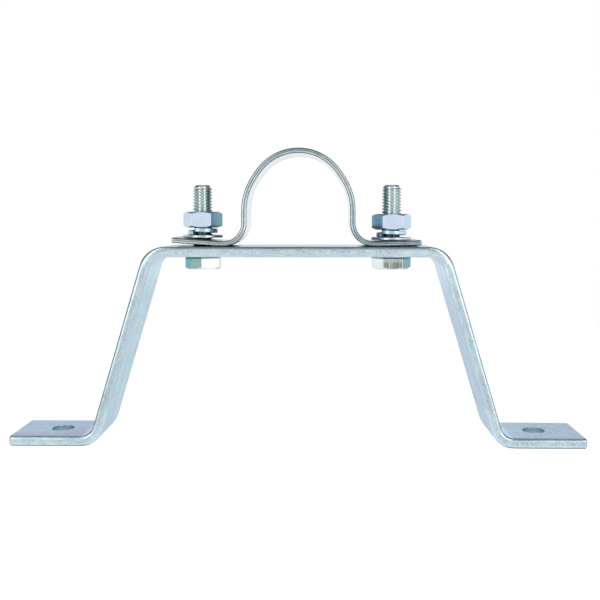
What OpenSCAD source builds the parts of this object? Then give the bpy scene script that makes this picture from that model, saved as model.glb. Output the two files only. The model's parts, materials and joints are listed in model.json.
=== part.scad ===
// Stand-off bracket with a tube saddle, in bent zinc-plated flat bar.
// One flat bar is bent into a trapezoid with two drilled feet. An omega-shaped strap sits on its top
// and is held by two hex bolts, each with a flat washer, a split spring washer and a hex nut.
// Units are millimetres. X runs along the bar, Y across it and Z up. The origin is the middle of the
// plane that both feet stand on.

/* [Bracket bar] */
// Width of the flat bar
bar_w = 35; // [30:1:50]
// Thickness of the flat bar
bar_t = 5; // [4:0.5:6]
// Overall length over both feet
bracket_len = 285; // [270:1:320]
// Height of the top face above the feet
bracket_h = 98.5; // [80:0.5:120]
// Length of the top, between the sharp corners that the outer faces would make
top_len = 146; // [140:1:160]
// Lean of each leg away from vertical, degrees
leg_lean = 17.1; // [10:0.1:20]
// Inside radius of the two top bends
top_bend_r = 7.75; // [5:0.25:10]
// Inside radius of the two foot bends, on the outer side of the leg
foot_bend_r = 6.75; // [5:0.25:8]
// Corner radius at the end of each foot
foot_corner_r = 2; // [0.5:0.5:4]
// Distance between the two fixing holes in the feet
foot_hole_span = 240; // [238:1:246]
// Diameter of the fixing holes in the feet
foot_hole_d = 11; // [9:0.5:13]

/* [Tube strap] */
// Diameter of the tube that the strap holds
tube_d = 44.7; // [44:0.1:46]
// Thickness of the strap
strap_t = 2.5; // [2:0.5:3.5]
// Width of the strap
strap_w = 30; // [25:1:35]
// Overall length over both strap feet
strap_len = 121.2; // [118:0.2:124]
// Inside width between the two upright sides
strap_inside_w = 50; // [48:0.2:51]
// Half angle of the crown that follows the tube, degrees
crown_half = 56; // [55:1:60]
// Straight length of the strap between its crown and each shoulder
shoulder_flat = 3.4; // [0:0.1:4]
// How far the arch sits right of the middle between the strap's feet
arch_shift = 1; // [0:0.1:1]
// Height of the tube's axis above the bar, beyond the tube's own radius
tube_lift = 0.1; // [0.1:0.1:0.5]
// Inside radius of the bend into each strap foot
strap_bend_r = 9; // [6:0.5:9]
// Upward tilt of the left strap foot towards its end, degrees
left_foot_tilt = 4.4; // [0.4:0.2:5]
// Upward tilt of the right strap foot towards its end, degrees
right_foot_tilt = 1.6; // [0.4:0.2:5]

/* [Bolts and nuts] */
// Distance between the two bolts
bolt_span = 94; // [92:1:96]
// Clearance hole for the bolts, in the bar and in the strap
bolt_hole_d = 11; // [10.5:0.5:12]
// Diameter over the thread crests
thread_d = 9.9; // [9.8:0.05:9.95]
// Thread pitch
pitch = 1.5; // [1.5:0.25:1.75]
// Depth of the thread
thread_depth = 0.92; // [0.8:0.02:1]
// Length of each bolt under its head
bolt_len = 35; // [35:5:45]
// Size across the flats of the heads and nuts
across_flats = 17; // [16:1:17]
// Height of each bolt head
head_h = 6.4; // [5.5:0.1:7]
// Height of each nut
nut_h = 7.8; // [7:0.1:8.4]
// Bore of each nut
nut_bore_d = 10; // [9.98:0.02:10.1]
// Turn of the left nut from square to the bar, degrees
left_nut_turn = 1; // [-30:1:30]
// Turn of the right nut from square to the bar, degrees
right_nut_turn = 0; // [-30:1:30]
// Turn of the left bolt head from square to the bar, degrees
left_head_turn = 30; // [-30:1:30]
// Turn of the right bolt head from square to the bar, degrees
right_head_turn = 1; // [-30:1:30]

/* [Washers] */
// Outside diameter of the flat washers
washer_od = 20; // [18:0.5:21]
// Bore of the flat washers
washer_id = 10.5; // [10.2:0.1:10.8]
// Thickness of the flat washers
washer_t = 1.25; // [1:0.05:1.6]
// Outside diameter of the spring washers
spring_od = 15; // [14.5:0.1:15.5]
// Bore of the spring washers
spring_id = 10.4; // [10.2:0.1:10.6]
// Thickness of the spring washer's section
spring_t = 2.1; // [1.8:0.1:2.6]
// Free height of a spring washer, end to end of its coil
spring_free_h = 3.65; // [3.4:0.05:5]
// Gap between the two cut ends of a spring washer, degrees
spring_gap = 7; // [4:1:12]
// Where the left spring washer is cut, degrees from +X
left_cut = 240; // [180:1:270]
// Where the right spring washer is cut, degrees from +X
right_cut = 223; // [180:1:270]

/* [Hidden] */
$fn = 96;
// Clearance left between stacked pieces that only touch
lay_gap = 0.02;

// Steps along each bend of an outline
arc_steps = 16;

// Bracket outline in the XZ plane: the centres of the top bend and of the foot bend
top_r_out = top_bend_r + bar_t;
foot_r_out = foot_bend_r + bar_t;
top_bend = [top_len / 2 - top_r_out * tan((90 - leg_lean) / 2), bracket_h - top_r_out];
foot_bend_z = foot_r_out;
leg_drop = top_bend[1] - foot_bend_z + (top_r_out + foot_bend_r) * sin(leg_lean);
leg_reach = (top_r_out + foot_bend_r) * cos(leg_lean) + leg_drop * tan(leg_lean);
foot_bend = [top_bend[0] + leg_reach, foot_bend_z];
foot_end = bracket_len / 2;

// Strap outline, from the middle of its arch and the bar's top face: a crown arc on the tube, a short
// straight, a wider shoulder arc, an upright side, a bend out and a foot that lifts towards its end
tube_r = tube_d / 2;
crown = [0, tube_r + tube_lift];
crown_end = 90 - crown_half;
side_in = strap_inside_w / 2;
crown_out = [sin(crown_half), cos(crown_half)];
crown_foot = crown + tube_r * crown_out;
shoulder_top = crown_foot + shoulder_flat * [cos(crown_half), -sin(crown_half)];
shoulder_r = (side_in - shoulder_top[0]) / (1 - sin(crown_half));
shoulder = shoulder_top - shoulder_r * crown_out;
strap_r_out = strap_bend_r + strap_t;
strap_bend = [side_in + strap_r_out, strap_r_out];
// Stock left inside the crown's outline, which the round seat then removes
seat_stock = 0.5;

bolt_x = bolt_span / 2;
strap_z = bracket_h + lay_gap;

// Hex pieces: the end chamfer starts on a circle slightly inside the flats
hex_r = across_flats / 2 / cos(30);
hex_face_share = 0.95;
hex_face_r = hex_face_share * across_flats / 2;
hex_chamfer_h = (hex_r - hex_face_r) * tan(30);
crest_r = thread_d / 2;
// Plain neck under the head, and height of the chamfer at the tip
neck_h = 1;
tip_h = 1.7;
tip_r = 3.3;
groove_count = floor((bolt_len - neck_h - tip_h) / pitch);
// Share of the pitch at which a groove starts and ends its flat root, and comes back to the crest
root_start = 0.4;
root_end = 0.55;
crest_start = 0.9;
// The mouth of each nut bore flares to nut_mouth_d over nut_mouth_h
nut_mouth_d = nut_bore_d + 0.9;
nut_mouth_h = 0.45;
// Steps along the coil of a spring washer
spring_steps = 40;

zinc_bar = [0.78, 0.84, 0.88];
zinc_strap = [0.76, 0.80, 0.82];
zinc_bolt = [0.66, 0.76, 0.76];
zinc_nut = [0.80, 0.85, 0.93];
zinc_washer = [0.72, 0.78, 0.80];
spring_steel = [0.55, 0.62, 0.66];

// The sides of the part are -1 for the left one, at -X, and 1 for the right one
function foot_tilt(side) = side < 0 ? left_foot_tilt : right_foot_tilt;

// A direction along a strap foot, and the one square to it and up
function foot_dir(tilt) = [cos(tilt), sin(tilt)];
function foot_up(tilt) = [-sin(tilt), cos(tilt)];

// Where the underside of a strap foot starts, at the end of its bend
function foot_start(tilt) = strap_bend - strap_r_out * foot_up(tilt);

// Distance from the middle of the arch outwards, for a distance from the middle of the bar
function from_arch(side, x) = x - side * arch_shift;

// Height of a strap foot's top face above the bar, at x from the middle of the bar
function foot_top(side, x) =
    let (
        tilt = foot_tilt(side),
        start = foot_start(tilt)
    )
        start[1] + (from_arch(side, x) - start[0]) * tan(tilt) + strap_t / cos(tilt);

// Heights of a fastener stack. The flat washer stays level and bears on the strap foot's raised end
function washer_z(side) = strap_z + foot_top(side, bolt_x + washer_od / 2) + lay_gap;
function spring_z(side) = washer_z(side) + washer_t + lay_gap;
function nut_z(side) = spring_z(side) + spring_free_h + lay_gap;

// Points along an arc in the XZ plane. Angles run from +X towards +Z
function arc(centre, radius, from, to) = [
    for (i = [0:arc_steps])
        let (angle = from + (to - from) * i / arc_steps)
            centre + radius * [cos(angle), sin(angle)]
];

// A closed outline from its right half and its left half, both drawn at +X and starting on X = 0
function joined(right, left) = concat(
    right,
    [for (i = [len(left) - 1:-1:0]) [-left[i][0], left[i][1]]]
);

// An outline in the XZ plane, drawn out along Y and centred on it
module bar_from(outline, width) {
    rotate([90, 0, 0])
        translate([0, 0, -width / 2])
            linear_extrude(width)
                polygon(outline);
}

// What rounding takes off a corner of radius r that points to +X and +Y, with r at the origin
module corner_waste(r) {
    difference() {
        square(r + 1);
        circle(r);
    }
}

// From the middle of the top out to the end of the foot along the outside, and back along the inside
bracket_half = concat(
    arc(top_bend, top_r_out, 90, leg_lean),
    arc(foot_bend, foot_bend_r, 180 + leg_lean, 270),
    [[foot_end, bar_t], [foot_end, 0]],
    arc(foot_bend, foot_r_out, 270, 180 + leg_lean),
    arc(top_bend, top_bend_r, leg_lean, 90)
);

module bracket() {
    color(zinc_bar)
        difference() {
            bar_from(joined(bracket_half, bracket_half), bar_w);
            for (side = [-1, 1]) {
                translate([side * foot_hole_span / 2, 0, -1])
                    cylinder(d = foot_hole_d, h = bar_t + 2);
                translate([side * bolt_x, 0, bracket_h - bar_t - 1])
                    cylinder(d = bolt_hole_d, h = bar_t + 2);
            }
            for (mx = [0, 1], my = [0, 1])
                mirror([mx, 0, 0])
                    mirror([0, my, 0])
                        translate([foot_end - foot_corner_r, bar_w / 2 - foot_corner_r, -1])
                            linear_extrude(bar_t + 2)
                                corner_waste(foot_corner_r);
        }
}

// From the middle of the crown out to the end of the foot along the outside, and back along the inside
function strap_half(side) =
    let (
        tilt = foot_tilt(side),
        start = foot_start(tilt),
        reach = (from_arch(side, strap_len / 2) - start[0]) / cos(tilt),
        end = start + reach * foot_dir(tilt)
    )
        concat(
            arc(crown, tube_r + strap_t, 90, crown_end),
            arc(shoulder, shoulder_r + strap_t, crown_end, 0),
            arc(strap_bend, strap_bend_r, 180, 270 + tilt),
            [end + strap_t * foot_up(tilt), end],
            arc(strap_bend, strap_r_out, 270 + tilt, 180),
            arc(shoulder, shoulder_r, 0, crown_end),
            [crown_foot],
            arc(crown, tube_r - seat_stock, crown_end, 90)
        );

module pipe_strap() {
    color(zinc_strap)
        translate([0, 0, strap_z])
            difference() {
                translate([arch_shift, 0, 0])
                    bar_from(joined(strap_half(1), strap_half(-1)), strap_w);
                translate([arch_shift, 0, crown[1]])
                    rotate([90, 0, 0])
                        cylinder(r = tube_r, h = strap_w + 2, center = true);
                for (side = [-1, 1])
                    translate([side * bolt_x, 0, -1])
                        cylinder(d = bolt_hole_d, h = foot_top(side, strap_len / 2) + 2);
            }
}

// A hexagonal body on Z = 0, chamfered below, and above too if both_ends is true
module hex_body(height, both_ends) {
    top_r = both_ends ? hex_face_r : hex_r;
    intersection() {
        cylinder(r = hex_r, h = height, $fn = 6);
        rotate_extrude()
            polygon([
                [0, 0],
                [hex_face_r, 0],
                [hex_r, hex_chamfer_h],
                [hex_r, height - hex_chamfer_h],
                [top_r, height],
                [0, height]
            ]);
    }
}

// A threaded shank up from Z = 0, as ring grooves at the thread's pitch, with a chamfered tip. It is
// rooted in the head below
module threaded_shank() {
    root_r = crest_r - thread_depth;
    rooted = -head_h / 2;
    base = [[0, rooted], [crest_r, rooted]];
    tip = [[crest_r, bolt_len - tip_h], [tip_r, bolt_len], [0, bolt_len]];
    grooves = [
        for (i = [0:groove_count - 1])
            let (z = neck_h + i * pitch)
                each [
                    [crest_r, z],
                    [root_r, z + root_start * pitch],
                    [root_r, z + root_end * pitch],
                    [crest_r, z + crest_start * pitch]
                ]
    ];
    rotate_extrude()
        polygon(concat(base, grooves, tip));
}

// A hex bolt from below: its head bears on the underside of the bar
module hex_bolt(side, head_turn) {
    color(zinc_bolt)
        translate([side * bolt_x, 0, bracket_h - bar_t]) {
            translate([0, 0, -head_h])
                rotate([0, 0, head_turn])
                    hex_body(head_h, false);
            threaded_shank();
        }
}

module flat_washer(side) {
    color(zinc_washer)
        translate([side * bolt_x, 0, washer_z(side)])
            difference() {
                cylinder(d = washer_od, h = washer_t);
                translate([0, 0, -1])
                    cylinder(d = washer_id, h = washer_t + 2);
            }
}

// A split spring washer: a coil of one turn and of rectangular section, whose high end is at the cut
module spring_washer(side, cut) {
    turn = 360 - spring_gap;
    rise = spring_free_h - spring_t;
    corners = [[spring_id / 2, 0], [spring_od / 2, 0], [spring_od / 2, spring_t], [spring_id / 2, spring_t]];
    points = [
        for (i = [0:spring_steps])
            let (
                angle = cut + spring_gap / 2 + turn * i / spring_steps,
                z = rise * (1 - i / spring_steps)
            )
                for (corner = corners)
                    [corner[0] * cos(angle), corner[0] * sin(angle), corner[1] + z]
    ];
    sides = [
        for (i = [0:spring_steps - 1])
            for (k = [0:3])
                let (a = 4 * i + k, b = 4 * i + (k + 1) % 4)
                    each [[a, a + 4, b], [b, a + 4, b + 4]]
    ];
    last = 4 * spring_steps;
    ends = [[0, 1, 2, 3], [last + 3, last + 2, last + 1, last]];
    color(spring_steel)
        translate([side * bolt_x, 0, spring_z(side)])
            polyhedron(points = points, faces = concat(sides, ends));
}

// The flare cut into the lower end of a nut's bore, started below the face so that it cuts cleanly
module nut_mouth() {
    slope = (nut_mouth_d - nut_bore_d) / nut_mouth_h;
    translate([0, 0, -nut_mouth_h])
        cylinder(d1 = nut_mouth_d + slope * nut_mouth_h, d2 = nut_bore_d, h = 2 * nut_mouth_h);
}

module hex_nut(side, turn) {
    color(zinc_nut)
        translate([side * bolt_x, 0, nut_z(side)])
            rotate([0, 0, turn])
                difference() {
                    hex_body(nut_h, true);
                    translate([0, 0, -1])
                        cylinder(d = nut_bore_d, h = nut_h + 2);
                    nut_mouth();
                    translate([0, 0, nut_h])
                        mirror([0, 0, 1])
                            nut_mouth();
                }
}

module left_bolt() { hex_bolt(-1, left_head_turn); }
module right_bolt() { hex_bolt(1, right_head_turn); }
module left_flat_washer() { flat_washer(-1); }
module right_flat_washer() { flat_washer(1); }
module left_spring_washer() { spring_washer(-1, left_cut); }
module right_spring_washer() { spring_washer(1, right_cut); }
module left_nut() { hex_nut(-1, left_nut_turn); }
module right_nut() { hex_nut(1, right_nut_turn); }

bracket();
pipe_strap();
left_bolt();
left_flat_washer();
left_spring_washer();
left_nut();
right_bolt();
right_flat_washer();
right_spring_washer();
right_nut();
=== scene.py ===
"""Looks of the stand-off bracket: zinc-plated flat bar, tube strap and fasteners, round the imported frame.

Lengths are metres and angles radians. X runs along the bar, Y across it and Z up, as in the frame.
"""

import json
import math

import bmesh
import bpy
from mathutils import Matrix, Vector


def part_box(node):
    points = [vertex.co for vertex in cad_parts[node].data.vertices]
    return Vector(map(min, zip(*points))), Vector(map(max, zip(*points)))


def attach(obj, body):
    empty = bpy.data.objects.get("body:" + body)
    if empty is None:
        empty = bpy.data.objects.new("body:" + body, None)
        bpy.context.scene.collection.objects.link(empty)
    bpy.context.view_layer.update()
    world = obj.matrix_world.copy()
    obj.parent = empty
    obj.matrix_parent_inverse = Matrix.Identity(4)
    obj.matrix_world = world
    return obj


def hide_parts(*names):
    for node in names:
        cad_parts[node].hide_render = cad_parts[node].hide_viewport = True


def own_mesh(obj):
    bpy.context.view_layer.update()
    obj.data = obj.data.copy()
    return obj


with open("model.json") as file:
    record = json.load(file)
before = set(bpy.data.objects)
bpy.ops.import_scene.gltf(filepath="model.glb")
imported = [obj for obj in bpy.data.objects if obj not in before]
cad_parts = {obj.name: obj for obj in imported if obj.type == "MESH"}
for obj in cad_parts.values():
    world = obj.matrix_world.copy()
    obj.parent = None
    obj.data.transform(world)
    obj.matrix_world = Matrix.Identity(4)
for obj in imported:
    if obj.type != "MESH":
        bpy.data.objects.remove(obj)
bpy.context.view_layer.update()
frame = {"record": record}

MM = 0.001
SIDES = {"left": -1, "right": 1}

# ---------------------------------------------------------------- sizes taken from the frame


def size_of(node):
    """Length, width and height of a CAD node."""
    low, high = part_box(node)
    return high - low


mounts = {mount["name"]: mount for mount in frame["record"]["mounts"]}
tube_r = mounts["tube_seat"]["dims"]["r_mm"] * MM
arch_x, _, tube_z = mounts["tube_seat"]["pos_m"]
foot_hole_x = mounts["feet_holes"]["dims"]["spacing_x_mm"] * MM / 2
foot_hole_r = mounts["feet_holes"]["dims"]["hole_r_mm"] * MM
bolt_x = sum(corner.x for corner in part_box("right_bolt")) / 2
bracket_size = size_of("bracket")
strap_size = size_of("pipe_strap")
strap_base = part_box("pipe_strap")[0].z

# ---------------------------------------------------------------- bent strips: bracket and strap

BAR_T = 5 * MM
BAR_EDGE = 0.9 * MM
TOP_LEN = 146 * MM
LEG_LEAN = math.radians(17.1)
TOP_BEND_R = 7.75 * MM
FOOT_BEND_R = 6.75 * MM
BOLT_HOLE_R = 5.5 * MM
BAR_CORNER = 2 * MM
BAR_BARREL = 3.2
BAR_RIM = 0.3 * MM

STRAP_T = 2.5 * MM
STRAP_EDGE = 0.5 * MM
STRAP_INSIDE_W = 50 * MM
CROWN_HALF = math.radians(56)
SHOULDER_FLAT = 3.4 * MM
STRAP_BEND_R = 9 * MM
STRAP_FOOT_TILT = {"left": math.radians(4.4), "right": math.radians(1.6)}
STRAP_CORNER = 0.9 * MM
STRAP_BARREL = 3.0
STRAP_RIM = 0.25 * MM

# Half side of the square of mesh round each hole, the steps along that side and the rings inside it
SQUARE = 9 * MM
SQUARE_STEPS = 12
RING_SHARES = (0.4, 0.75)

# Longest and most turned piece of mesh along a strip, and the least distance between two of its lines
LONGEST_STEP = 3 * MM
WIDEST_TURN = math.radians(5)
LEAST_STEP = 0.6 * MM

CORNER_STEPS = 4
EDGE_STEPS = 4
BARREL_STEPS = 9
BARREL_FULLNESS = 1.6

# How far the stretched side of a bend pulls in, and how far from the strip's edge that starts
PULL_IN = 0.09
PULL_REACH = 6 * MM


class Path:
    """Half a centre line in the XZ plane, from X = middle outwards, as (length, turn) pieces."""

    def __init__(self, height, pieces, middle=0.0):
        self.middle = middle
        self.pieces = []
        x, z, heading, s = 0.0, height, 0.0, 0.0
        for length, turn in pieces:
            self.pieces.append((s, length, turn, x, z, heading))
            x, z = self.advance(x, z, heading, turn / length, length)
            heading += turn
            s += length
        self.length = s

    @staticmethod
    def advance(x, z, heading, curve, length):
        """The point reached from (x, z) along an arc, or along a straight where curve is 0."""
        if abs(curve) < 1e-9:
            return x + math.cos(heading) * length, z + math.sin(heading) * length
        end = heading + curve * length
        step_x = (math.sin(end) - math.sin(heading)) / curve
        step_z = (math.cos(heading) - math.cos(end)) / curve
        return x + step_x, z + step_z

    def at(self, s):
        """(x, z, heading) at a distance along the line."""
        piece = self.pieces[0]
        for candidate in self.pieces:
            if candidate[0] <= s + 1e-12:
                piece = candidate
        start, length, turn, x, z, heading = piece
        curve = turn / length
        x, z = self.advance(x, z, heading, curve, s - start)
        return x, z, heading + curve * (s - start)

    def bend(self, s, reach=1.5 * MM):
        """Mean curve over a short reach, positive where the strip turns up."""
        low = max(0.0, abs(s) - reach)
        high = min(self.length, abs(s) + reach)
        return (self.at(high)[2] - self.at(low)[2]) / (high - low)

    def place(self, s, y, n):
        """The point that is n above the centre line at s."""
        x, z, heading = self.at(abs(s))
        x -= math.sin(heading) * n
        return Vector((self.middle + math.copysign(x, s), y, z + math.cos(heading) * n))

    def distance_to(self, x):
        """Distance along the line to the point above x, for x on a piece that isn't upright."""
        low, high = 0.0, self.length
        for _ in range(40):
            middle = (low + high) / 2
            if self.at(middle)[0] < x:
                low = middle
            else:
                high = middle
        return (low + high) / 2


def bracket_path():
    """Flat top, a bend down, a leaning leg, a bend up and a foot."""
    height = bracket_size.z
    turn = math.pi / 2 - LEG_LEAN
    top_outer = TOP_BEND_R + BAR_T
    foot_outer = FOOT_BEND_R + BAR_T
    top_flat = TOP_LEN / 2 - top_outer * math.tan(turn / 2)
    drop = height - top_outer - foot_outer + (top_outer + FOOT_BEND_R) * math.sin(LEG_LEAN)
    reach = (top_outer + FOOT_BEND_R) * math.cos(LEG_LEAN) + drop * math.tan(LEG_LEAN)
    foot = bracket_size.x / 2 - top_flat - reach
    return Path(height - BAR_T / 2, [
        (top_flat, 0),
        ((TOP_BEND_R + BAR_T / 2) * turn, -turn),
        (drop / math.cos(LEG_LEAN), 0),
        ((FOOT_BEND_R + BAR_T / 2) * turn, turn),
        (foot, 0),
    ])


def strap_path(side_name):
    """Crown on the tube, a straight, a wider shoulder, an upright side, a bend out and a lifted foot."""
    tilt = STRAP_FOOT_TILT[side_name]
    side = STRAP_INSIDE_W / 2
    sine, cosine = math.sin(CROWN_HALF), math.cos(CROWN_HALF)
    shoulder_r = (side - tube_r * sine - SHOULDER_FLAT * cosine) / (1 - sine)
    shoulder_z = tube_z - (shoulder_r - tube_r) * cosine - SHOULDER_FLAT * sine
    outer = STRAP_BEND_R + STRAP_T
    upright = shoulder_z - (strap_base + outer)
    bend_out = math.pi / 2 + tilt
    foot_x = side + outer + outer * math.sin(tilt)
    foot = (strap_size.x / 2 - SIDES[side_name] * arch_x - foot_x) / math.cos(tilt)
    return Path(tube_z + tube_r + STRAP_T / 2, [
        ((tube_r + STRAP_T / 2) * CROWN_HALF, -CROWN_HALF),
        (SHOULDER_FLAT, 0),
        ((shoulder_r + STRAP_T / 2) * (math.pi / 2 - CROWN_HALF), CROWN_HALF - math.pi / 2),
        (upright, 0),
        ((STRAP_BEND_R + STRAP_T / 2) * bend_out, bend_out),
        (foot, 0),
    ], arch_x)


bracket_paths = dict.fromkeys(SIDES, bracket_path())
strap_paths = {side: strap_path(side) for side in SIDES}


def rim_profile(thickness, reach):
    """(distance out, height) down a hole's rounded edge, from the upper face to the lower one."""
    quarter = [math.pi / 2 * i / EDGE_STEPS for i in range(EDGE_STEPS + 1)]
    height = [thickness / 2 - reach * (1 - math.cos(a)) for a in quarter]
    out = [reach * math.sin(a) for a in quarter]
    return list(zip(out, height)) + [(x, -z) for x, z in zip(reversed(out), reversed(height))]


def barrel_profile(thickness, reach, power):
    """(distance out, height) down a bulging edge, from the upper face to the lower one.

    A higher power makes the middle of the edge flatter and its corners tighter.
    """
    rows = []
    for i in range(2 * BARREL_STEPS + 1):
        share = math.cos(math.pi * i / (2 * BARREL_STEPS))
        out = reach * (1 - abs(share) ** power) ** (1 / BARREL_FULLNESS)
        rows.append((out, thickness / 2 * share))
    return rows


def half_lines(path, holes, cell, edge):
    """Distances along half a strip at which the mesh has a line across it."""
    end = path.length - edge
    marks = [0.0]
    for start, length, turn, *_ in path.pieces:
        steps = max(math.ceil(length / LONGEST_STEP), math.ceil(abs(turn) / WIDEST_TURN))
        marks += [start + length * (i + 1) / steps for i in range(steps)]
    for hole in holes:
        marks = [m for m in marks if abs(m - hole) > SQUARE + LEAST_STEP]
        marks += [hole - SQUARE + 2 * SQUARE * i / SQUARE_STEPS for i in range(SQUARE_STEPS + 1)]
    return sorted(m for m in marks if m < end - cell - LEAST_STEP) + [end - cell, end]


def cross_lines(width, cell, edge):
    """Distances across the strip at which the mesh has a line along it."""
    end = width / 2 - edge
    marks = [SQUARE * i / (SQUARE_STEPS // 2) for i in range(SQUARE_STEPS // 2 + 1)]
    marks += [SQUARE + (end - cell - SQUARE) * i / 3 for i in (1, 2, 3)] + [end]
    return [-m for m in reversed(marks[1:])] + marks


def bridge(bm, first, second):
    """Faces between two closed rows of vertices of the same length."""
    for i in range(len(first)):
        k = (i + 1) % len(first)
        bm.faces.new((first[i], first[k], second[k], second[i]))


def face_grid(bm, along, across, squares, height):
    """Meshes a strip's flat face, but for its corners and the squares round its holes.

    Returns its vertices by (i, j).
    """
    last_i, last_j = len(along) - 1, len(across) - 1
    n = SQUARE_STEPS

    def has_face(i, j):
        return not any(a <= i < a + n and b <= j < b + n for _, _, a, b in squares)

    def has_vertex(i, j):
        on_corner = i in (0, last_i) and j in (0, last_j)
        return not on_corner and not any(a < i < a + n and b < j < b + n for _, _, a, b in squares)

    grid = {
        (i, j): bm.verts.new((s, y, height))
        for i, s in enumerate(along) for j, y in enumerate(across) if has_vertex(i, j)
    }
    for i in range(last_i):
        for j in range(last_j):
            corners = ((i, j), (i + 1, j), (i + 1, j + 1), (i, j + 1))
            if has_face(i, j) and all(corner in grid for corner in corners):
                bm.faces.new([grid[corner] for corner in corners])
    return grid


def face_border(bm, grid, cell):
    """Fills the corners of a flat face with fans. Returns its border as (vertex, outward direction)."""
    last_i, last_j = max(i for i, _ in grid), max(j for _, j in grid)
    border = []

    def run(keys, outward):
        border.extend((grid[key], outward) for key in keys)

    def round_corner(centre_key, start_key, end_key, first_angle):
        centre = grid[centre_key]
        previous = grid[start_key]
        for step in range(1, CORNER_STEPS + 1):
            angle = first_angle + math.pi / 2 * step / CORNER_STEPS
            outward = Vector((math.cos(angle), math.sin(angle), 0))
            if step < CORNER_STEPS:
                vertex = bm.verts.new(centre.co + outward * cell)
                border.append((vertex, outward))
            else:
                vertex = grid[end_key]
            bm.faces.new((centre, previous, vertex))
            previous = vertex

    run([(i, 0) for i in range(1, last_i)], Vector((0, -1, 0)))
    round_corner((last_i - 1, 1), (last_i - 1, 0), (last_i, 1), -math.pi / 2)
    run([(last_i, j) for j in range(1, last_j)], Vector((1, 0, 0)))
    round_corner((last_i - 1, last_j - 1), (last_i, last_j - 1), (last_i - 1, last_j), 0)
    run([(i, last_j) for i in range(last_i - 1, 0, -1)], Vector((0, 1, 0)))
    round_corner((1, last_j - 1), (1, last_j), (0, last_j - 1), math.pi / 2)
    run([(0, j) for j in range(last_j - 1, 0, -1)], Vector((-1, 0, 0)))
    round_corner((1, 1), (0, 1), (1, 0), math.pi)
    return border


def hole_border(bm, grid, square, height, rim):
    """Fills the square round a hole, in to its rim. Returns the rim as (vertex, inward direction)."""
    hole, radius, a, b = square
    n = SQUARE_STEPS
    keys = [(a + k, b) for k in range(n)] + [(a + n, b + k) for k in range(n)]
    keys += [(a + n - k, b + n) for k in range(n)] + [(a, b + n - k) for k in range(n)]
    ring = [grid[key] for key in keys]
    square_points = [vertex.co.copy() for vertex in ring]
    circle = []
    for k in range(4 * n):
        angle = math.pi * (-3 / 4) + 2 * math.pi * k / (4 * n)
        inward = Vector((-math.cos(angle), -math.sin(angle), 0))
        circle.append((Vector((hole, 0, height)) - inward * (radius + rim), inward))
    for share in RING_SHARES + (1.0,):
        next_ring = [bm.verts.new(p.lerp(c, share)) for p, (c, _) in zip(square_points, circle)]
        bridge(bm, ring, next_ring)
        ring = next_ring
    return [(vertex, inward) for vertex, (_, inward) in zip(ring, circle)]


def strip(paths, hole_places, width, thickness, corner, edge, power, rim):
    """A bmesh of a whole strip, meshed flat with its holes and rounded edges, then bent along its two paths.

    Hole_places are (x, radius) pairs, each for a hole on both sides. Corner is the radius of the strip's four
    corners in plan, edge how far the cut edges bulge, power their shape and rim the rounding of the holes.
    """
    bm = bmesh.new()
    flat = bm.verts.layers.float_vector.new("flat")
    cell = corner - edge
    holes = {
        side: [(paths[side].distance_to(x - sign * paths[side].middle), radius) for x, radius in hole_places]
        for side, sign in SIDES.items()
    }
    left, right = [half_lines(paths[side], [h for h, _ in holes[side]], cell, edge) for side in SIDES]
    along = [-m for m in reversed(left[1:])] + right
    across = cross_lines(width, cell, edge)

    # The square round each hole, as (distance along, hole radius, first i, first j)
    squares = []
    for hole, radius in [(sign * h, r) for side, sign in SIDES.items() for h, r in holes[side]]:
        first = min(range(len(along)), key=lambda i: abs(along[i] - (hole - SQUARE)))
        middle = min(range(len(across)), key=lambda j: abs(across[j]))
        squares.append((hole, radius, first, middle - SQUARE_STEPS // 2))

    borders = []
    for height in (thickness / 2, -thickness / 2):
        grid = face_grid(bm, along, across, squares, height)
        borders.append([face_border(bm, grid, cell)])
        borders[-1] += [hole_border(bm, grid, square, height, rim) for square in squares]

    profiles = [barrel_profile(thickness, edge, power)] + [rim_profile(thickness, rim)] * len(squares)
    for upper, lower, profile in zip(*borders, profiles):
        row = [vertex for vertex, _ in upper]
        for out, height in profile[1:-1]:
            next_row = [
                bm.verts.new(Vector((v.co.x, v.co.y, height)) + outward * out) for v, outward in upper
            ]
            bridge(bm, row, next_row)
            row = next_row
        bridge(bm, row, [vertex for vertex, _ in lower])

    for vertex in bm.verts:
        s, y, n = vertex.co
        path = paths["left" if s < 0 else "right"]
        vertex[flat] = vertex.co
        vertex.co = path.place(s, drawn_in(path, s, y, n, width), n)
    return bm


def drawn_in(path, s, y, n, width):
    """Y after bending: the stretched side of a bend pulls in slightly near the strip's edges."""
    stretch = max(0.0, -path.bend(s) * n)
    near_edge = max(0.0, 1 - (width / 2 - abs(y)) / PULL_REACH)
    return y * (1 - PULL_IN * stretch * near_edge ** 2)


# ---------------------------------------------------------------- turned and hexagonal pieces

PITCH = 1.5 * MM
CREST_R = 4.95 * MM
THREAD_DEPTH = 0.92 * MM
ACROSS_FLATS = 17 * MM
CORNER_ROUND = 0.3 * MM
HEX_FACE_SHARE = 0.95
HEX_CHAMFER = math.radians(30)
HEX_EASE = 0.12 * MM
HEAD_DISH_R = 5.6 * MM
HEAD_DISH = 0.25 * MM
NECK_H = 1 * MM
NECK_FILLET = 0.4 * MM
TIP_R = 3.3 * MM
TIP_DISH_R = 2.2 * MM
TIP_DISH = 0.12 * MM
NUT_CLEARANCE = 0.12 * MM
NUT_MOUTH_R = 5.45 * MM
NUT_MOUTH_EDGE = 0.2 * MM
NUT_MOUTH_SLOPE = 1.2
WASHER_HOLE_R = 5.25 * MM
PUNCH_ROUND = 0.35 * MM
PUNCH_BURR = 0.12 * MM
HEAD_TURN = {"left": math.radians(33), "right": math.radians(1)}
NUT_TURN = {"left": math.radians(1), "right": 0.0}

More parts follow.
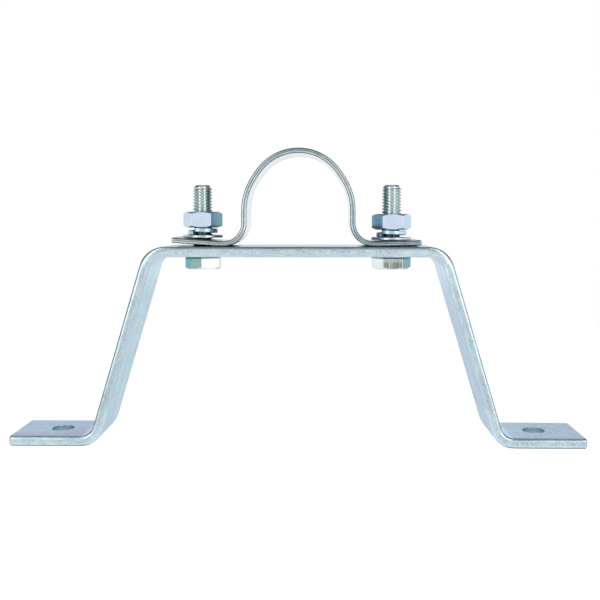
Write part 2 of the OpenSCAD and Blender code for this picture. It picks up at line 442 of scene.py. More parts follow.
# Share of the pitch, and share of the depth there, over one turn of thread from crest to crest
THREAD = (
    (0.05, 0), (0.075, 0.04), (0.405, 0.94), (0.45, 1),
    (0.55, 1), (0.595, 0.94), (0.925, 0.04), (0.95, 0),
)

# Where the lines along a hexagonal piece lie in one sixth of a turn, in degrees from its corner
SIXTH = (-1.35, -0.7, 0, 0.7, 1.35, 3.5, 7, 12, 18, 24, 30, 36, 42, 48, 53, 56.5)
ROUND_STEPS = 96


def hex_angles(turn):
    """Angles of the lines along a hexagonal piece, with extra ones on its rounded corners."""
    return [turn + math.radians(60 * k + a) for k in range(6) for a in SIXTH]


def hex_radius(angle, turn):
    """Radius of a hexagon with rounded corners at an angle."""
    from_corner = (angle - turn + math.pi / 6) % (math.pi / 3) - math.pi / 6
    inner = (ACROSS_FLATS / 2 - CORNER_ROUND) / math.cos(math.pi / 6)
    under = CORNER_ROUND ** 2 - (inner * math.sin(from_corner)) ** 2
    flat = ACROSS_FLATS / 2 / math.cos(math.pi / 6 - abs(from_corner))
    if under > 0:
        return min(flat, inner * math.cos(from_corner) + math.sqrt(under))
    return flat


def ring(bm, centre, angles, radius, height):
    """A ring of vertices. Radius and height are numbers, or functions of the angle."""
    vertices = []
    for angle in angles:
        r = radius(angle) if callable(radius) else radius
        z = height(angle) if callable(height) else height
        x, y = centre[0] + r * math.cos(angle), centre[1] + r * math.sin(angle)
        vertices.append(bm.verts.new((x, y, z)))
    return vertices


def skin(bm, centre, angles, rows):
    """Faces through a list of (radius, height) rings. Returns the first ring and the last."""
    rings = [ring(bm, centre, angles, radius, height) for radius, height in rows]
    for first, second in zip(rings, rings[1:]):
        bridge(bm, first, second)
    return rings[0], rings[-1]


def close_with_fan(bm, rim, centre, height):
    """Closes a round opening with triangles to its middle."""
    middle = bm.verts.new((centre[0], centre[1], height))
    for first, second in zip(rim, rim[1:] + rim[:1]):
        bm.faces.new((first, second, middle))


def thread_drop(angle, z):
    """How far a right-hand thread's surface lies below its crest. Z is measured along the bolt's own axis."""
    phase = (z / PITCH - angle / (2 * math.pi)) % 1
    points = ((THREAD[-1][0] - 1, 0),) + THREAD + ((THREAD[0][0] + 1, 0),)
    for (low, low_drop), (high, high_drop) in zip(points, points[1:]):
        if low <= phase <= high:
            return THREAD_DEPTH * (low_drop + (high_drop - low_drop) * (phase - low) / (high - low))


def threaded_skin(bm, centre, angles, origin_z, low, high, radius):
    """A surface whose lines follow a right-hand helix up from low. Radius is a function of (angle, z)."""
    per_turn = len(THREAD)
    first_turn = math.floor((low - origin_z) / PITCH) - 2
    last_turn = math.ceil((high - origin_z) / PITCH) + 2
    rows = []
    for turn in range(first_turn, last_turn):
        for phase, _ in THREAD:
            row = []
            for angle in angles:
                z = origin_z + PITCH * (turn + phase + angle / (2 * math.pi))
                z = min(max(z, low), high)
                r = radius(angle, z)
                x, y = centre[0] + r * math.cos(angle), centre[1] + r * math.sin(angle)
                row.append(bm.verts.new((x, y, z)))
            rows.append(row)
    for i in range(len(rows) - per_turn - 1):
        for j in range(len(angles) - 1):
            bm.faces.new((rows[i][j], rows[i][j + 1], rows[i + 1][j + 1], rows[i + 1][j]))
        wrap, wrap_up = rows[i + per_turn][0], rows[i + per_turn + 1][0]
        bm.faces.new((rows[i][-1], wrap, wrap_up, rows[i + 1][-1]))


def hex_end(turn, end, inward, chamfered):
    """Rings of one end of a hexagonal body, from its end face out to its side. Inward is 1 or -1 along Z."""
    face_r = HEX_FACE_SHARE * ACROSS_FLATS / 2
    slope = math.tan(HEX_CHAMFER)

    def side(pull_in):
        return lambda angle: hex_radius(angle, turn) - pull_in

    def cut(angle):
        return (hex_radius(angle, turn) - face_r) * slope

    if not chamfered:
        return [
            (side(HEX_EASE), end), (side(0.3 * HEX_EASE), end + inward * 0.3 * HEX_EASE),
            (side(0), end + inward * HEX_EASE),
        ]
    return [
        (face_r - HEX_EASE, end),
        (face_r, end + inward * 0.25 * HEX_EASE),
        (side(HEX_EASE), lambda a: end + inward * max(cut(a) - HEX_EASE * slope, 0.5 * HEX_EASE)),
        (side(0.3 * HEX_EASE), lambda a: end + inward * (cut(a) + 0.2 * HEX_EASE)),
        (side(0), lambda a: end + inward * (cut(a) + HEX_EASE)),
    ]


def hex_sides(turn, low, high, upper_chamfer):
    """Rings of a hexagonal body's outside, from its chamfered lower end to its upper end."""
    return hex_end(turn, low, 1, True) + hex_end(turn, high, -1, upper_chamfer)[::-1]


def bolt_axis(side):
    """Centre of a bolt in plan, and the height of its head's bearing face."""
    return (SIDES[side] * bolt_x, 0.0), bracket_size.z - BAR_T


def bolt(side):
    """A hex head with a shallow dish, a plain neck and a helical thread with a chamfered tip."""
    bm = bmesh.new()
    centre, seat = bolt_axis(side)
    low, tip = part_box(side + "_bolt")[0].z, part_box(side + "_bolt")[1].z
    turn = HEAD_TURN[side]
    angles = hex_angles(turn)
    head = [
        (HEAD_DISH_R - 1.2 * MM, low + HEAD_DISH), (HEAD_DISH_R, low + 0.4 * HEAD_DISH),
        (HEAD_DISH_R + 0.4 * MM, low),
    ]
    head += hex_sides(turn, low, seat, False)
    head += [
        (CREST_R + NECK_FILLET, seat), (CREST_R + 0.3 * NECK_FILLET, seat + 0.3 * NECK_FILLET),
        (CREST_R, seat + NECK_FILLET),
    ]
    first, _ = skin(bm, centre, angles, head)
    close_with_fan(bm, first, centre, low + HEAD_DISH)

    def radius(angle, z):
        run_in = min(max((z - seat - NECK_H) / PITCH, 0.0), 1.0)
        cone = TIP_R + tip - z
        return min(CREST_R - thread_drop(angle, z - seat) * run_in, cone)

    threaded_skin(bm, centre, angles, seat, seat + NECK_FILLET, tip, radius)
    dish_z = tip - TIP_DISH
    first, _ = skin(bm, centre, angles, [(TIP_DISH_R, dish_z), (TIP_R - 0.15 * MM, tip), (TIP_R, tip)])
    close_with_fan(bm, first, centre, dish_z)
    return bm


def nut(side):
    """A hex nut, chamfered at both ends, with a thread that runs in the grooves of its bolt."""
    bm = bmesh.new()
    centre, seat = bolt_axis(side)
    low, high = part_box(side + "_nut")[0].z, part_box(side + "_nut")[1].z
    turn = NUT_TURN[side]
    angles = hex_angles(turn)
    rows = [(NUT_MOUTH_R, low), (NUT_MOUTH_R + NUT_MOUTH_EDGE, low)]
    rows += hex_sides(turn, low, high, True)
    rows += [(NUT_MOUTH_R + NUT_MOUTH_EDGE, high), (NUT_MOUTH_R, high)]
    skin(bm, centre, angles, rows)

    def radius(angle, z):
        mouth = NUT_MOUTH_R - min(z - low, high - z) * NUT_MOUTH_SLOPE
        return max(CREST_R - thread_drop(angle, z - seat) + NUT_CLEARANCE, mouth)

    threaded_skin(bm, centre, angles, seat, low, high, radius)
    return bm


def flat_washer(side):
    """A stamped washer: rounded over where the punch went in, sharper below."""
    bm = bmesh.new()
    low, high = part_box(side + "_flat_washer")
    centre = ((low.x + high.x) / 2, 0.0)
    outer, inner = (high.x - low.x) / 2, WASHER_HOLE_R
    over, under = PUNCH_ROUND, PUNCH_BURR
    rows = [(inner + under, low.z), (outer - under, low.z), (outer, low.z + under)]
    for i in range(EDGE_STEPS + 1):
        a = math.pi / 2 * i / EDGE_STEPS
        rows.append((outer - over * (1 - math.cos(a)), high.z - over * (1 - math.sin(a))))
    rows += [(inner + over, high.z), (inner, high.z - over), (inner, low.z + under)]
    angles = [2 * math.pi * k / ROUND_STEPS for k in range(ROUND_STEPS)]
    first, last = skin(bm, centre, angles, rows)
    bridge(bm, last, first)
    return bm


SPRING_ID = 10.4 * MM
SPRING_OD = 15 * MM
SPRING_T = 2.1 * MM
SPRING_GAP = math.radians(7)
SPRING_CUT = {"left": math.radians(240), "right": math.radians(223)}
SPRING_SOFT = 0.38 * MM
SPRING_STEPS = 90
SPRING_CORNER_STEPS = 4


def spring_washer(side):
    """One turn of square wire with rounded corners, lower at one side of its cut than at the other."""
    bm = bmesh.new()
    low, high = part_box(side + "_spring_washer")
    centre_x = SIDES[side] * bolt_x
    rise = high.z - low.z - SPRING_T
    half_w, half_t = (SPRING_OD - SPRING_ID) / 4, SPRING_T / 2
    mid_r = (SPRING_OD + SPRING_ID) / 4
    section = []
    for corner_x, corner_z, start in ((1, 1, 0), (-1, 1, 90), (-1, -1, 180), (1, -1, 270)):
        for step in range(SPRING_CORNER_STEPS + 1):
            a = math.radians(start + 90 * step / SPRING_CORNER_STEPS)
            section.append((
                corner_x * (half_w - SPRING_SOFT) + SPRING_SOFT * math.cos(a),
                corner_z * (half_t - SPRING_SOFT) + SPRING_SOFT * math.sin(a),
            ))

    def coil_ring(share, shrink):
        """The wire's outline at a share of the turn, counted from the upper end."""
        angle = SPRING_CUT[side] + SPRING_GAP / 2 + (2 * math.pi - SPRING_GAP) * share
        z = low.z + half_t + rise * (1 - share)
        return [
            bm.verts.new((
                centre_x + (mid_r + shrink * u) * math.cos(angle),
                (mid_r + shrink * u) * math.sin(angle),
                z + shrink * v,
            ))
            for u, v in section
        ]

    end_share, end_shrink = 0.004, 0.9
    shares = [0, end_share] + [i / SPRING_STEPS for i in range(1, SPRING_STEPS)] + [1 - end_share, 1]
    rings = [coil_ring(share, end_shrink if share in (0, 1) else 1) for share in shares]
    for first, second in zip(rings, rings[1:]):
        bridge(bm, first, second)
    bm.faces.new(rings[0])
    bm.faces.new(rings[-1])
    return bm


# ---------------------------------------------------------------- materials

# Colours of the zinc plate: the strips' cut edges, their faces as (place, colour) stops with the inner ones
# paler as painted reflection, and their holes
LAVENDER = (0.70, 0.77, 0.93)
SKY = (0.69, 0.85, 0.97)
TEAL = (0.67, 0.87, 0.94)
PALE = (0.87, 0.95, 0.97)
OUTER = ((0.20, (0.36, 0.46, 0.74)), (0.50, (0.36, 0.54, 0.74)), (0.80, (0.40, 0.62, 0.78)))
INNER_TONE_AND_REFLECTION = ((0.20, (0.48, 0.74, 0.86)), (0.50, (0.42, 0.66, 0.82)), (0.80, (0.35, 0.56, 0.80)))
HOLE_GREY = (0.54, 0.70, 0.76)
PIT = (0.22, 0.26, 0.30)

# What the plate is multiplied by as painted shade where it is closed in, and painted light and shade on parts
# of the bolt heads
PAINTED_CREVICE_SHADE = (0.12, 0.17, 0.21)
# Painted shade on bolt head faces that look left, painted highlight on those that look right
HEAD_LEFT_SHADE = (0.62, 0.84, 0.80)
HEAD_RIGHT_HIGHLIGHT = (1.10, 1.05, 0.88)
HEAD_EDGE_SHADE = (0.07, 0.06, 0.07)
SEAT_SHADOW = (0.16, 0.26, 0.28)

# Painted reflection on the bolt heads' chamfer, and colours of the serrated face, low down and near the bar
CHAMFER_REFLECTION = (0.97, 0.97, 0.97)
SERRATED_LOW = ((0.34, (0.13, 0.13, 0.14)), (0.5, (0.30, 0.32, 0.33)), (0.64, (0.66, 0.70, 0.70)))
SERRATED_HIGH = ((0.3, (0.42, 0.46, 0.44)), (0.7, (0.58, 0.62, 0.58)))

PAINTED_SHADE_REACH = 3 * MM


class Shader:
    """Adds and links shader nodes in a few words."""

    def __init__(self, tree):
        self.tree = tree

    def add(self, kind, settings=None, **inputs):
        """A node of a kind with its settings and inputs. An input is a value or another node's output."""
        node = self.tree.nodes.new("ShaderNode" + kind)
        for name, value in (settings or {}).items():
            setattr(node, name, value)
        for name, value in inputs.items():
            socket = node.inputs[int(name[1:])] if name[0] == "_" else node.inputs[name.replace("_", " ")]
            if isinstance(value, bpy.types.NodeSocket):
                self.tree.links.new(value, socket)
            else:
                socket.default_value = value
        return node

    def math(self, operation, a, b=0.0):
        return self.add("Math", {"operation": operation}, _0=a, _1=b).outputs[0]

    def ramp(self, value, low, high, to_low=0.0, to_high=1.0):
        """Value carried smoothly from (low, high) to (to_low, to_high)."""
        node = self.add("MapRange", {"interpolation_type": "SMOOTHSTEP"}, Value=value)
        for name, number in (("From Min", low), ("From Max", high), ("To Min", to_low), ("To Max", to_high)):
            node.inputs[name].default_value = number
        return node.outputs[0]

    def between(self, value, low, high, soft):
        """1 where value lies from low to high, with soft ends."""
        rise = self.ramp(value, low - soft, low + soft)
        fall = self.ramp(value, high - soft, high + soft, 1.0, 0.0)
        return self.math("MULTIPLY", rise, fall)

    def mix(self, factor, a, b):
        """A colour mixed from a and b."""
        node = self.add("Mix", {"data_type": "RGBA"}, Factor=factor)
        for socket, value in ((node.inputs[6], a), (node.inputs[7], b)):
            if isinstance(value, bpy.types.NodeSocket):
                self.tree.links.new(value, socket)
            else:
                socket.default_value = (*value, 1)
        return node.outputs[2]

    def lerp(self, share, a, b):
        """A number between a and b."""
        return self.add("Mix", {"data_type": "FLOAT"}, _0=share, _2=a, _3=b).outputs[0]

    def multiply(self, a, b):
        return self.add("VectorMath", {"operation": "MULTIPLY"}, _0=a, _1=b).outputs[0]

    def shade(self, colour, brightness):
        return self.add("VectorMath", {"operation": "SCALE"}, _0=colour, Scale=brightness).outputs[0]

    def facing(self):
        """0 where the surface looks at the camera, 1 where it is seen edge on."""
        return self.add("LayerWeight", Blend=0.5).outputs["Facing"]

    def true_normal(self):
        return self.add("NewGeometry").outputs["True Normal"]

    def tint(self, colour, share, factors):
        """A colour, multiplied by the factors where share is 1."""
        return self.multiply(colour, self.mix(share, (1, 1, 1), factors))

    def parts(self, vector):
        """X, y and z of a vector."""
        return self.add("SeparateXYZ", Vector=vector).outputs[:3]

    def noise(self, vector, scale, detail=2.0, rough=0.5, warp=0.0):
        return self.add(
            "TexNoise", Vector=vector, Scale=scale, Detail=detail, Roughness=rough, Distortion=warp
        ).outputs[0]

    def colours(self, value, stops):
        """Colours along a ramp, as (place, colour) stops."""
        node = self.add("ValToRGB", Fac=value)
        elements = node.color_ramp.elements
        while len(elements) < len(stops):
            elements.new(0.5)
        for element, (place, colour) in zip(elements, stops):
            element.position = place
            element.color = (*colour, 1)
        return node.outputs[0]


def new_material(name):
    """A material with an empty node tree, its output and a metal shader."""
    material = bpy.data.materials.new(name)
    material.use_nodes = True
    material.node_tree.nodes.clear()
    shader = Shader(material.node_tree)
    surface = shader.add("BsdfPrincipled", Metallic=1.0)
    output = shader.add("OutputMaterial")
    material.node_tree.links.new(surface.outputs[0], output.inputs[0])
    return material, shader, surface


def finish(shader, surface, colour, roughness, height, bump_strength, bump_distance, reach=PAINTED_SHADE_REACH):
    """Links a colour, darkened by painted shade where the surface is closed in, a roughness and a bump to a
    metal shader.
    """
    open_share = shader.add("AmbientOcclusion", {"samples": 8}, Distance=reach).outputs["AO"]
    # Painted shade: ambient occlusion darkens the colour in gaps and corners
    colour = shader.tint(colour, shader.ramp(open_share, 0.1, 0.65, 1, 0), PAINTED_CREVICE_SHADE)
    bump = shader.add("Bump", Height=height, Strength=bump_strength, Distance=bump_distance)
    links = shader.tree.links
    links.new(colour, surface.inputs["Base Color"])
    links.new(roughness, surface.inputs["Roughness"])
    links.new(bump.outputs[0], surface.inputs["Normal"])


def rolled_face(shader, place, length, upper, lower):
    """Colour of a strip's flat faces, the lower one paler as painted reflection, all its streaks and the fine
    ones alone.
    """
    s, _, n = shader.parts(place)
    long_streaks = shader.noise(shader.multiply(place, (10, 110, 60)), 1.0, 3.0, 0.65)
    fine_streaks = shader.noise(shader.multiply(place, (40, 2600, 400)), 1.0, 2.0, 0.6)
    streaks = shader.lerp(0.35, long_streaks, fine_streaks)
    clouds = shader.noise(place, 48.0, 3.0, 0.55, 0.6)
    drift = shader.ramp(s, -length / 4, length / 4, -0.15, 0.15)
    tone = shader.math("ADD", shader.ramp(shader.lerp(0.4, streaks, clouds), 0.3, 0.7), drift)
    # Painted reflection: the lower face takes its own, paler colours
    on_upper = shader.ramp(n, -0.1 * MM, 0.1 * MM)
    colour = shader.mix(on_upper, shader.colours(tone, lower), shader.colours(tone, upper))
    spangle = shader.noise(shader.multiply(place, (900, 350, 900)), 1.0, 2.0, 0.6)
    colour = shader.shade(colour, shader.ramp(spangle, 0.3, 0.7, 0.9, 1.08))
    colour = shader.shade(colour, shader.ramp(long_streaks, 0.35, 0.65, 0.85, 1.12))
    return colour, streaks, fine_streaks


def sheared_edge(shader, place, length, thickness, cut_colours, light_and_shade_bands, painted_shade_along, grit):
    """Colour of a strip's cut edges, with painted highlight and shade bands across them and painted shade
    along them, and the share of it that is pitted.
    """
    s, _, n = shader.parts(place)
    clouds = shader.noise(shader.multiply(place, (260, 600, 420)), 1.0, 3.0, 0.65, 0.4)
    colour = shader.colours(clouds, cut_colours)

    waver = shader.noise(shader.multiply(place, (90, 300, 60)), 1.0, 2.0, 0.5)
    # Painted highlights and painted shade lines across the cut edge, by height, wavering along it
    level = shader.math("ADD", shader.math("MULTIPLY", n, 1 / thickness), 0.44)
    level = shader.math("ADD", level, shader.math("MULTIPLY", waver, 0.12))
    brightness = shader.colours(level, [(at, (value, value, value)) for at, value in light_and_shade_bands])
    colour = shader.multiply(colour, brightness)

    scratches = shader.noise(shader.multiply(place, (160, 1200, 2600)), 1.0, 2.0, 0.6)
    colour = shader.shade(colour, shader.ramp(scratches, 0.3, 0.7, 1 - 0.12 * grit, 1 + 0.08 * grit))
    # Painted shade along the strip, from the left end to the right one
    share = shader.math("ADD", shader.math("MULTIPLY", s, 1 / length), 0.5)
    colour = shader.multiply(colour, shader.colours(share, painted_shade_along))

    specks = shader.noise(shader.multiply(place, (1100, 1500, 1900)), 1.0, 2.0, 0.6)
    patches = shader.ramp(shader.noise(place, 60.0, 2.0, 0.5), 0.35, 0.60, 0.25, 1.0)
    in_band = shader.between(n, -0.18 * thickness, 0.28 * thickness, 0.10 * thickness)
    pitted = shader.math("MULTIPLY", shader.ramp(specks, 0.40, 0.68), patches)
    pitted = shader.math("MULTIPLY", pitted, in_band)
    return shader.mix(shader.math("MULTIPLY", pitted, 0.6 * grit), colour, PIT), pitted


def strip_zinc(name, size, upper, lower, cut_colours, light_and_shade_bands, painted_shade_along, grit):
    """Zinc plate on rolled strip: streaks and clouds on its faces, with the lower face paler as painted
    reflection, and painted light and shade bands, painted shade and pits on its cut edges.

    Size is the strip's length, width, thickness and the bulge of its edges. Bands are painted highlights and
    painted shade lines, as (place, brightness) on those edges, from the lower face at 0 to the upper one at
    1. Tints are painted shade along the strip, as (place, colour), from the left end at 0 to the right end at
    1. Grit is the strength of the pits and scratches.
    """
    material, shader, surface = new_material(name)
    length, width, thickness, edge = size
    place = shader.add("Attribute", {"attribute_name": "flat"}).outputs["Vector"]
    s, y, n = shader.parts(place)
    rolled, streaks, fine_streaks = rolled_face(shader, place, length, upper, lower)
    sheared, pitted = sheared_edge(shader, place, length, thickness, cut_colours, light_and_shade_bands, painted_shade_along, grit)

    def past_edge(distance, full):
        return shader.ramp(shader.math("ABSOLUTE", distance), full / 2 - 1.1 * edge, full / 2 - 0.7 * edge)

    cut = shader.math("MAXIMUM", past_edge(y, width), past_edge(s, length))
    in_hole = shader.ramp(shader.math("ABSOLUTE", n), 0.42 * thickness, 0.48 * thickness, 1, 0)
    colour = shader.mix(cut, shader.mix(in_hole, rolled, HOLE_GREY), sheared)
    grain = shader.noise(place, 1900.0, 2.0, 0.6)
    rough_faces = shader.ramp(shader.lerp(0.6, grain, streaks), 0.3, 0.7, 0.18, 0.30)
    roughness = shader.math("ADD", rough_faces, shader.math("MULTIPLY", cut, 0.03))
    relief = shader.lerp(0.4, fine_streaks, grain)
    relief = shader.math("SUBTRACT", relief, shader.math("MULTIPLY", pitted, 0.8))
    finish(shader, surface, colour, roughness, relief, 0.08 + 0.27 * grit, 0.05 * MM)
    return material


def part_zinc(name, palette, rough, brushed, bump, edge_on_shade=(1, 1, 1), edge_out_shade=None, head_top=None):
    """Zinc plate on small parts: soft clouds of colour and a fine tooling grain stretched by brushed.

    The edge-on tint is painted shade on the sides that turn away from the camera, and the edge-out tint
    painted shade on those of them that look away from the middle of the bracket. Head_top is the height below
    which bolt heads lie.
    """
    material, shader, surface = new_material(name)
    place = shader.add("TexCoord").outputs["Object"]
    clouds = shader.noise(place, 170.0, 3.0, 0.5, 0.5)
    tooling = shader.noise(shader.multiply(place, brushed), 1.0, 2.0, 0.6)
    grain = shader.noise(place, 2600.0, 2.0, 0.6)
    colour = shader.colours(shader.lerp(0.3, clouds, tooling), palette)
    # Painted shade on the sides seen edge on
    turned = shader.ramp(shader.facing(), 0.2, 0.5)
    roughness = shader.ramp(tooling, 0.25, 0.75, rough, rough + 0.10)
    relief = shader.lerp(0.4, tooling, grain)
    reach = PAINTED_SHADE_REACH
    # Painted shade on the edge-on sides that look away from the middle of the bracket
    if edge_out_shade:
        outward = shader.math("MULTIPLY", shader.parts(shader.true_normal())[0], shader.parts(place)[0])
        edge_on_shade = shader.mix(shader.ramp(outward, 0.2 * bolt_x, 0.6 * bolt_x), edge_on_shade, edge_out_shade)
    if head_top:
        height = shader.parts(place)[2]
        in_head = shader.ramp(height, head_top + MM, head_top + 1.2 * MM, 1, 0)
        # The painted crevice shade reaches less far on the bolt's thread high up
        reach = shader.ramp(height, head_top + 14 * MM, head_top + 15.5 * MM, PAINTED_SHADE_REACH, MM)
        turned = shader.math("MULTIPLY", turned, shader.math("SUBTRACT", 1.0, in_head))
        colour = head_marks(shader, place, head_top, in_head, colour)
    colour = shader.tint(colour, turned, edge_on_shade)
    finish(shader, surface, colour, roughness, relief, bump, 0.04 * MM, reach)
    return material


def head_marks(shader, place, head_top, in_head, colour):
    """Colour of a bolt head: serrated where a face looks straight ahead, with painted light and shade on the
    others by the way they look.

    It has a painted shadow line where it meets the bar, and painted shade where a face is seen nearly edge
    on.
    """
    across, along, up = shader.parts(shader.true_normal())
    height = shader.parts(place)[2]

    def on_head(share):
        return shader.math("MULTIPLY", share, in_head)

    # Painted shade on the left-looking faces and a painted highlight on the right-looking ones
    ahead = shader.ramp(along, -0.8, -0.7, 1, 0)
    left = shader.math("MULTIPLY", shader.ramp(across, -0.4, -0.3, 1, 0), ahead)
    colour = shader.tint(colour, on_head(left), HEAD_LEFT_SHADE)
    colour = shader.tint(colour, on_head(shader.ramp(across, 0.75, 0.8)), HEAD_RIGHT_HIGHLIGHT)

    lines = shader.noise(shader.multiply(place, (2500, 10, 25)), 1.0, 2.0, 0.6)
    near_bar = shader.ramp(height, head_top - 2.5 * MM, head_top - MM)
    serrated = shader.mix(near_bar, shader.colours(lines, SERRATED_LOW), shader.colours(lines, SERRATED_HIGH))
    colour = shader.mix(on_head(shader.ramp(along, -0.998, -0.99, 1, 0)), colour, serrated)
    # Painted reflection: faces that look down are made near white
    colour = shader.mix(on_head(shader.ramp(up, -0.7, -0.4, 1, 0)), colour, CHAMFER_REFLECTION)

    # Painted shade where a face is seen nearly edge on
    colour = shader.tint(colour, on_head(shader.ramp(shader.facing(), 0.62, 0.85)), HEAD_EDGE_SHADE)
    # Painted shadow line where the head meets the bar
    seat_shadow_share = shader.ramp(height, head_top - 0.45 * MM, head_top + 0.1 * MM)
    return shader.tint(colour, on_head(seat_shadow_share), SEAT_SHADOW)


bar_zinc = strip_zinc(
    # Upper face colours, then lower face colours made paler as painted reflection
    "bar_zinc", (2 * bracket_paths["right"].length, bracket_size.y, BAR_T, BAR_EDGE), OUTER, INNER_TONE_AND_REFLECTION,
    cut_colours=((0.30, LAVENDER), (0.42, SKY), (0.54, TEAL), (0.68, PALE)),
    # Painted highlight and dark painted shade lines across the bar's cut edges
    light_and_shade_bands=(
        (0.0, 0.9), (0.06, 1.04), (0.45, 0.98), (0.68, 0.92),
        (0.78, 1.0), (0.86, 0.7), (0.92, 0.40), (1.0, 0.45),
    ),
    # Painted shade along the bar: legs darker than the feet and top
    painted_shade_along=[(at, (level, level, level)) for at, level in (
        (0.11, 1), (0.15, 0.82), (0.30, 0.82), (0.36, 0.92), (0.42, 0.92), (0.50, 0.86),
        (0.60, 0.92), (0.66, 0.92), (0.72, 0.88), (0.85, 0.88), (0.89, 0.98),
    )],
    grit=1.0,
)
strap_zinc = strip_zinc(
    "strap_zinc", (2 * strap_paths["right"].length, strap_size.y, STRAP_T, STRAP_EDGE),
    # Teal upper face, then a paler lower face as painted reflection
    upper=((0.20, (0.31, 0.46, 0.48)), (0.50, (0.37, 0.50, 0.52)), (0.80, (0.46, 0.56, 0.58))),
    lower=((0.20, (0.60, 0.70, 0.78)), (0.50, (0.66, 0.74, 0.80)), (0.80, (0.72, 0.78, 0.82))),
    cut_colours=((0.30, (0.44, 0.53, 0.55)), (0.50, (0.56, 0.65, 0.67)), (0.66, (0.66, 0.73, 0.73))),
    # Painted highlights and dark painted shade lines across the strap's cut edges
    light_and_shade_bands=(
        (0.0, 0.20), (0.10, 0.26), (0.19, 1.0), (0.40, 1.0), (0.49, 0.34),
        (0.56, 0.34), (0.65, 1.0), (0.78, 1.0), (0.85, 0.25), (1.0, 0.15),
    ),
    # Painted shade along the strap
    painted_shade_along=(
        (0.20, (1.0, 1.0, 1.0)), (0.28, (0.86, 0.94, 0.98)), (0.36, (0.84, 0.92, 0.96)),
        (0.50, (0.86, 0.92, 0.96)), (0.64, (1.0, 0.98, 1.0)), (0.78, (0.70, 0.80, 0.84)),
    ),
    grit=0.3,
)
bolt_zinc = part_zinc(
    "bolt_zinc", ((0.3, (0.68, 0.76, 0.75)), (0.5, (0.78, 0.84, 0.83)), (0.7, (0.84, 0.88, 0.87))),
    rough=0.12, brushed=(900, 900, 60), bump=0.15,
    # Painted shade on the bolt's sides seen edge on
    edge_on_shade=(0.62, 0.70, 0.72), head_top=bracket_size.z - BAR_T - MM,
)
nut_zinc = part_zinc(
    "nut_zinc", ((0.3, (0.62, 0.69, 0.90)), (0.5, (0.64, 0.75, 0.90)), (0.7, (0.66, 0.79, 0.90))),
    rough=0.16, brushed=(700, 700, 120), bump=0.15,
    # Painted shade on the nut's sides seen edge on, and on those looking away from the middle
    edge_on_shade=(0.76, 0.95, 0.90), edge_out_shade=(0.80, 0.86, 0.87),
)
washer_zinc = part_zinc(
    "washer_zinc", ((0.3, (0.56, 0.66, 0.74)), (0.5, (0.64, 0.74, 0.80)), (0.7, (0.70, 0.78, 0.82))),
    rough=0.26, brushed=(300, 300, 1500), bump=0.2,
)
spring_zinc = part_zinc(
    "spring_zinc", ((0.3, (0.38, 0.54, 0.67)), (0.5, (0.47, 0.64, 0.75)), (0.7, (0.53, 0.70, 0.79))),
    rough=0.26, brushed=(200, 200, 1800), bump=0.25,
)

# ---------------------------------------------------------------- pieces on their bodies


def add_piece(name, bm, body, node, material):
    """Turns a bmesh into a shaded piece that rides on a body and stands for a CAD node."""
    bmesh.ops.remove_doubles(bm, verts=bm.verts, dist=1e-7)
    bmesh.ops.recalc_face_normals(bm, faces=bm.faces)
    mesh = bpy.data.meshes.new(name)
    bm.to_mesh(mesh)
    bm.free()
    mesh.shade_smooth()
    mesh.materials.append(material)
    piece = bpy.data.objects.new(name, mesh)
    bpy.context.scene.collection.objects.link(piece)
    normals = piece.modifiers.new("even_normals", "WEIGHTED_NORMAL")
    normals.weight = 50
    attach(piece, body)
    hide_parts(node)
    return piece


add_piece(
    "bent_bracket",
    strip(
        bracket_paths, ((bolt_x, BOLT_HOLE_R), (foot_hole_x, foot_hole_r)),
        bracket_size.y, BAR_T, BAR_CORNER, BAR_EDGE, BAR_BARREL, BAR_RIM,
    ),
    "base", "bracket", bar_zinc,
)
add_piece(
    "omega_strap",
    strip(
        strap_paths, ((bolt_x, BOLT_HOLE_R),),
        strap_size.y, STRAP_T, STRAP_CORNER, STRAP_EDGE, STRAP_BARREL, STRAP_RIM,
    ),
    "strap", "pipe_strap", strap_zinc,
)

for side in SIDES:
    add_piece(side + "_hex_bolt", bolt(side), "base", side + "_bolt", bolt_zinc)
    add_piece(
        side + "_plain_washer", flat_washer(side), side + "_washer", side + "_flat_washer",
        washer_zinc,
    )
    coil = add_piece(
        side + "_split_washer", spring_washer(side), side + "_spring", side + "_spring_washer",
        spring_zinc,
    )
    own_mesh(coil)
    add_piece(side + "_hex_nut", nut(side), side + "_nut", side + "_nut", nut_zinc)

# ---------------------------------------------------------------- studio

# Brightness of the studio as the metal sees it
FRONT_WALL = 0.94
LEFT_SIDE = 0.62
RIGHT_SIDE = 1.35
BACK_WALL = 1.05
UPPER_FRONT = 0.38
UPPER_BACK = 0.22
CEILING = 0.45
SOFT_BOX = 2.3
FLOOR_GLOW = 0.5

# Brightness of the floor as the camera sees it
FLOOR_SEEN = 0.85
FLOOR_R = 0.5

CAMERA_PLACE = (0.011, -0.428, 0.113)
CAMERA_YAW = math.radians(1.21)
CAMERA_PITCH = math.radians(-5.62)
CAMERA_LENS = 51.3
CAMERA_SHIFT = (-0.0015, 0.0012)


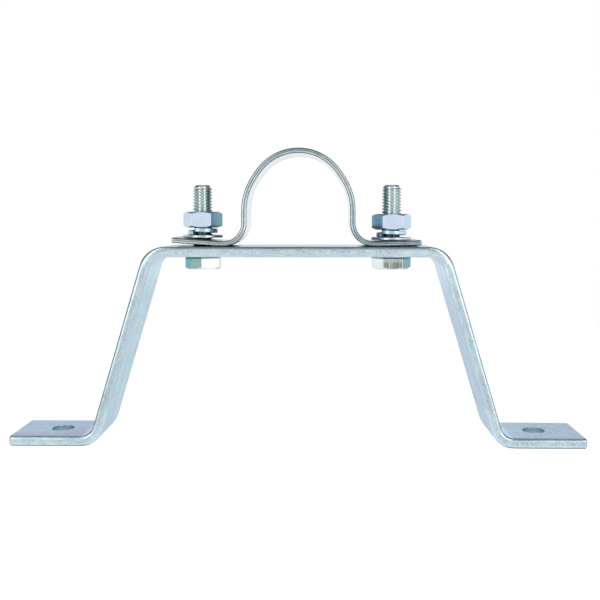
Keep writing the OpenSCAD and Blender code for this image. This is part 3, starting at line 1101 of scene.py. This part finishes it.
def studio_world():
    """White to the camera. Reflections see pale walls low down, two tall soft boxes and a dim ceiling.

    Azimuth is in degrees from straight in front, positive to the right, and lift is in degrees above level.
    """
    world = bpy.data.worlds.new("studio")
    bpy.context.scene.world = world
    world.use_nodes = True
    world.node_tree.nodes.clear()
    shader = Shader(world.node_tree)
    x, y, z = shader.parts(shader.add("TexCoord").outputs["Generated"])
    ahead = shader.math("MULTIPLY", y, -1.0)
    azimuth = shader.math("MULTIPLY", shader.math("ARCTAN2", x, ahead), 180 / math.pi)
    off_axis = shader.math("ABSOLUTE", azimuth)
    lift = shader.math("MULTIPLY", shader.math("ARCSINE", z), 180 / math.pi)

    side = shader.ramp(azimuth, -10, 10, LEFT_SIDE, RIGHT_SIDE)
    walls = shader.lerp(shader.ramp(off_axis, 44, 56), FRONT_WALL, side)
    walls = shader.lerp(shader.ramp(off_axis, 76, 96), walls, BACK_WALL)
    upper = shader.ramp(off_axis, 80, 110, UPPER_FRONT, UPPER_BACK)
    above = shader.ramp(lift, 14, 22)
    boxes = shader.math("MULTIPLY", shader.between(off_axis, 26, 45, 3), shader.between(lift, -50, 60, 5))
    level = shader.lerp(above, walls, upper)
    level = shader.lerp(shader.ramp(lift, 58, 68), level, CEILING)
    level = shader.lerp(boxes, level, SOFT_BOX)

    seen = shader.add("LightPath").outputs["Is Camera Ray"]
    studio = shader.add("Background", Color=(1, 1, 1, 1), Strength=level)
    white = shader.add("Background", Color=(1, 1, 1, 1), Strength=1.0)
    mixed = shader.add("MixShader", _0=seen, _1=studio.outputs[0], _2=white.outputs[0])
    output = shader.add("OutputWorld")
    world.node_tree.links.new(mixed.outputs[0], output.inputs[0])


def studio_floor():
    """A wide pale floor that the feet stand on."""
    bm = bmesh.new()
    bmesh.ops.create_circle(bm, cap_ends=True, segments=ROUND_STEPS, radius=FLOOR_R)
    mesh = bpy.data.meshes.new("studio_floor")
    bm.to_mesh(mesh)
    bm.free()
    material = bpy.data.materials.new("studio_floor")
    material.use_nodes = True
    surface = material.node_tree.nodes["Principled BSDF"]
    surface.inputs["Base Color"].default_value = (0.6, 0.6, 0.6, 1)
    surface.inputs["Roughness"].default_value = 0.9
    surface.inputs["Specular IOR Level"].default_value = 0.0
    surface.inputs["Emission Color"].default_value = (1, 1, 1, 1)
    shader = Shader(material.node_tree)
    seen = shader.add("LightPath").outputs["Is Camera Ray"]
    glow = shader.ramp(seen, 0, 1, FLOOR_GLOW, FLOOR_SEEN)
    material.node_tree.links.new(glow, surface.inputs["Emission Strength"])
    mesh.materials.append(material)
    floor = bpy.data.objects.new("studio_floor", mesh)
    bpy.context.scene.collection.objects.link(floor)
    floor.location.z = -0.02 * MM


def studio_camera():
    """In front of the bracket, a little above its top and slightly right of its middle."""
    turned = Matrix.Rotation(CAMERA_YAW, 3, "Z") @ Matrix.Rotation(CAMERA_PITCH, 3, "X")
    right, forward, up = turned.col[0], turned.col[1], turned.col[2]
    data = bpy.data.cameras.new("camera")
    data.sensor_width = 36
    data.lens = CAMERA_LENS
    data.clip_start = 0.01
    data.shift_x, data.shift_y = CAMERA_SHIFT
    camera = bpy.data.objects.new("camera", data)
    bpy.context.scene.collection.objects.link(camera)
    axes = Matrix((right, up, -forward)).transposed().to_4x4()
    camera.matrix_world = Matrix.Translation(CAMERA_PLACE) @ axes
    bpy.context.scene.camera = camera


studio_world()
studio_floor()
studio_camera()
bpy.context.scene.view_settings.view_transform = "Standard"
